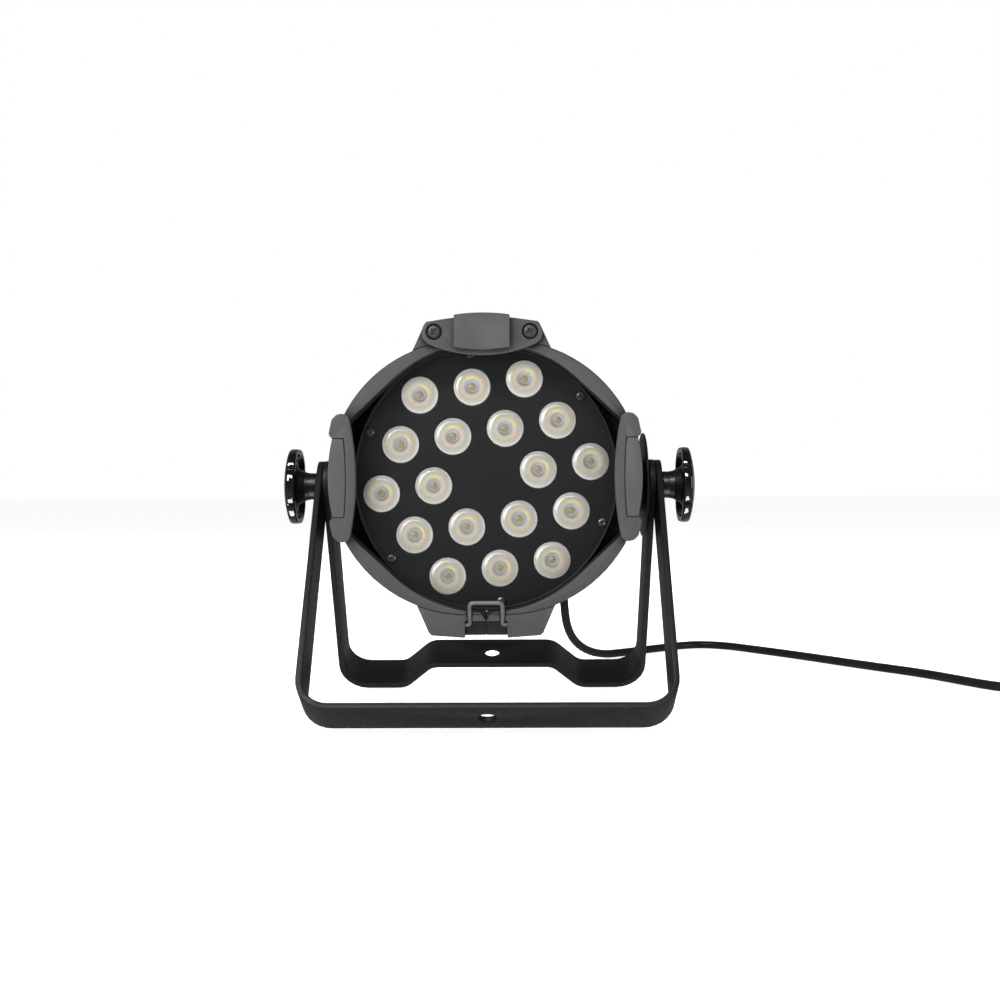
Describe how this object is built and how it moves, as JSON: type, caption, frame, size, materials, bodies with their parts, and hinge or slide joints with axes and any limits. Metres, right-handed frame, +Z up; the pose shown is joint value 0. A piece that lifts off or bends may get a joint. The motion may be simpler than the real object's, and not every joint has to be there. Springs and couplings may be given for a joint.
{
  "type": "par can light",
  "caption": "LED par can stage light: a round head with a fixed lens array and finned heat sink, tilting between two folding floor yokes locked by star knobs.",
  "frame": {"origin": "on the floor, under the middle of the fixture's own box, without its cord", "axes": "+Z up, the light shines towards -Y, and +X is to the right seen from the front"},
  "size_m": [0.5893, 0.3799, 0.2485],
  "materials": {
    "satin_black_paint": "satin powder coat",
    "hub_black": "satin",
    "stud_steel": "plain turned",
    "gloss_black_plastic": "polished",
    "grey_moulding": "fine texture",
    "grey_pad": "fine texture",
    "bright_screw": "plated",
    "catch_wire": "drawn wire",
    "plate_black": "fine matt",
    "frosted_lens": "frosted",
    "led_board": "white solder mask",
    "cast_black": "matt, on cast aluminium",
    "circuit_board": "green solder mask",
    "rear_plastic": "fine texture",
    "display_glass": "smoked window",
    "button_grey": "smooth",
    "socket_black": "smooth",
    "plated_steel": "zinc plated",
    "cord_rubber": "smooth, semi-gloss"
  },
  "bodies": {
    "stand": {"front_yoke": "satin_black_paint", "cord_run": "cord_rubber", "cord_coil": "cord_rubber", "plug": "cord_rubber"},
    "rear_yoke": {"rear_yoke": "satin_black_paint"},
    "head": {"hub_left": "hub_black", "hub_right": "hub_black", "ring_left": "grey_moulding", "ring_right": "grey_moulding", "top_clip": "grey_moulding", "top_clip_screw_left": "bright_screw", "top_clip_screw_right": "bright_screw", "side_clip_left": "grey_moulding", "side_clip_right": "grey_moulding", "side_pad_left": "grey_pad", "side_pad_right": "grey_pad", "cover_plate": "plate_black", "lens_1": "frosted_lens", "lens_2": "frosted_lens", "lens_3": "frosted_lens", "lens_4": "frosted_lens", "lens_5": "frosted_lens", "lens_6": "frosted_lens", "lens_7": "frosted_lens", "lens_8": "frosted_lens", "lens_9": "frosted_lens", "lens_10": "frosted_lens", "lens_11": "frosted_lens", "lens_12": "frosted_lens", "lens_13": "frosted_lens", "lens_14": "frosted_lens", "lens_15": "frosted_lens", "lens_16": "frosted_lens", "lens_17": "frosted_lens", "lens_18": "frosted_lens", "plate_screw_1": "bright_screw", "plate_screw_2": "bright_screw", "plate_screw_3": "bright_screw", "plate_screw_4": "bright_screw", "plate_screw_5": "bright_screw", "plate_screw_6": "bright_screw", "led_board": "led_board", "heat_sink": "cast_black", "driver_board": "circuit_board", "rear_cover": "rear_plastic", "display_window": "display_glass", "data_in_socket": "socket_black", "data_out_socket": "socket_black", "fuse_holder": "socket_black", "safety_eye": "plated_steel", "cord_gland": "cord_rubber"},
    "left_knob": {"knob_left": "gloss_black_plastic", "stud_left": "stud_steel"},
    "right_knob": {"knob_right": "gloss_black_plastic", "stud_right": "stud_steel"},
    "wire_catch": {"wire_catch": "catch_wire"},
    "button_1": {"button_1": "button_grey"},
    "button_2": {"button_2": "button_grey"},
    "button_3": {"button_3": "button_grey"},
    "button_4": {"button_4": "button_grey"}
  },
  "joints": [
    {"name": "rear_yoke_spread", "type": "hinge", "parent": "stand", "child": "rear_yoke", "pos_m": [0, 0.00844, 0.14427], "axis": [1, 0, 0], "range_deg": [-63, 15]},
    {"name": "head_tilt", "type": "hinge", "parent": "stand", "child": "head", "pos_m": [0, 0.00844, 0.14427], "axis": [1, 0, 0], "range_deg": [-45, 45]},
    {"name": "left_knob_turn", "type": "hinge", "parent": "head", "child": "left_knob", "pos_m": [-0.12, 0.00844, 0.14427], "axis": [1, 0, 0], "continuous": true},
    {"name": "right_knob_turn", "type": "hinge", "parent": "head", "child": "right_knob", "pos_m": [0.12, 0.00844, 0.14427], "axis": [1, 0, 0], "continuous": true},
    {"name": "wire_catch_fold", "type": "hinge", "parent": "head", "child": "wire_catch", "pos_m": [-0.0012, -0.05056, 0.05907], "axis": [1, 0, 0], "range_deg": [0, 100]},
    {"name": "button_1_press", "type": "slide", "parent": "head", "child": "button_1", "axis": [0, -1, 0], "range_m": [0, 0.001], "stiffness_N_per_m": 500},
    {"name": "button_2_press", "type": "slide", "parent": "head", "child": "button_2", "axis": [0, -1, 0], "range_m": [0, 0.001], "stiffness_N_per_m": 500},
    {"name": "button_3_press", "type": "slide", "parent": "head", "child": "button_3", "axis": [0, -1, 0], "range_m": [0, 0.001], "stiffness_N_per_m": 500},
    {"name": "button_4_press", "type": "slide", "parent": "head", "child": "button_4", "axis": [0, -1, 0], "range_m": [0, 0.001], "stiffness_N_per_m": 500}
  ]
}
